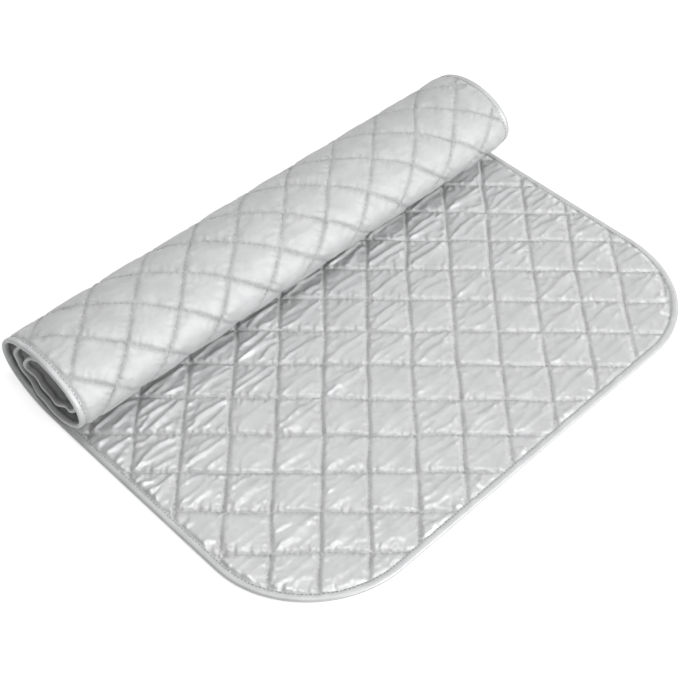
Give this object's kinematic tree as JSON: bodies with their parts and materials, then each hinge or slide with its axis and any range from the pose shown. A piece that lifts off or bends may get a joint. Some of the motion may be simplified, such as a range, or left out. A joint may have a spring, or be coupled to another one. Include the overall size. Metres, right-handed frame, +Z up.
{
  "type": "ironing pad",
  "caption": "Quilted portable ironing pad with a silver heat-reflecting cover on both sides and a bound edge, lying half unrolled with its back on the outside of the roll.",
  "frame": {"origin": "on the table, under the middle of the pad's bounding box as it lies half rolled", "axes": "+X from the roll towards the free edge, +Y along the roll, +Z up"},
  "size_m": [0.3432, 0.4834, 0.0711],
  "materials": {
    "face_cover": "silver-coated satin weave",
    "wadding": "lofted white fibre",
    "back_cover": "silver-coated satin weave",
    "edge_binding": "grey satin tape"
  },
  "bodies": {
    "root": {"face_cover": "face_cover", "wadding": "wadding", "back_cover": "back_cover", "edge_binding": "edge_binding"}
  },
  "joints": []
}
